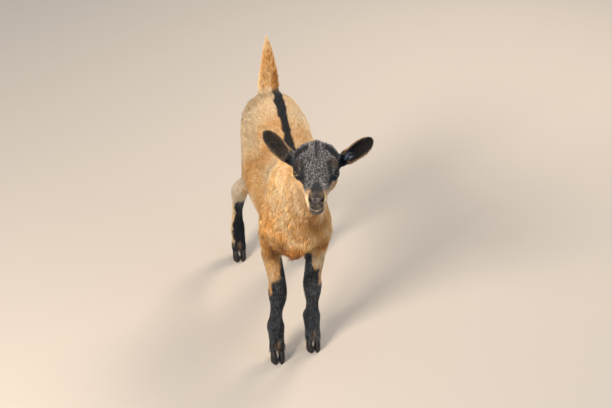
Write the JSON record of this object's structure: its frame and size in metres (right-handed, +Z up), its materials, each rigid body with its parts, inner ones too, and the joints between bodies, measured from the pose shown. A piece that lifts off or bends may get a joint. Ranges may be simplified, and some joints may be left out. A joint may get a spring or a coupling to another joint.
{
  "type": "goat kid, standing, still life-size model",
  "caption": "Still, life-size goat kid with a tan coat, black face and legs, head up and tail raised, standing on its claws.",
  "frame": {"origin": "on the floor, under the middle of the whole model's box", "axes": "+Z up, the kid faces -Y, its left side is +X"},
  "size_m": [0.2256, 0.6014, 0.5691],
  "materials": {
    "coat": "short tan hair with black face, ears, lower legs and back stripe",
    "claw": "dark horn, satin",
    "eye": "wet, pale iris with a dark level pupil"
  },
  "bodies": {
    "root": {"head": "coat", "neck": "coat", "trunk": "coat", "tail": "coat", "foreleg_left": "coat", "foreleg_right": "coat", "hindleg_left": "coat", "hindleg_right": "coat", "ear_left": "coat", "ear_right": "coat", "eye_left": "eye", "eye_right": "eye", "claw_fore_left_inner": "claw", "dewclaw_fore_left_inner": "claw", "claw_fore_left_outer": "claw", "dewclaw_fore_left_outer": "claw", "claw_fore_right_inner": "claw", "dewclaw_fore_right_inner": "claw", "claw_fore_right_outer": "claw", "dewclaw_fore_right_outer": "claw", "claw_hind_left_inner": "claw", "dewclaw_hind_left_inner": "claw", "claw_hind_left_outer": "claw", "dewclaw_hind_left_outer": "claw", "claw_hind_right_inner": "claw", "dewclaw_hind_right_inner": "claw", "claw_hind_right_outer": "claw", "dewclaw_hind_right_outer": "claw"}
  },
  "joints": []
}
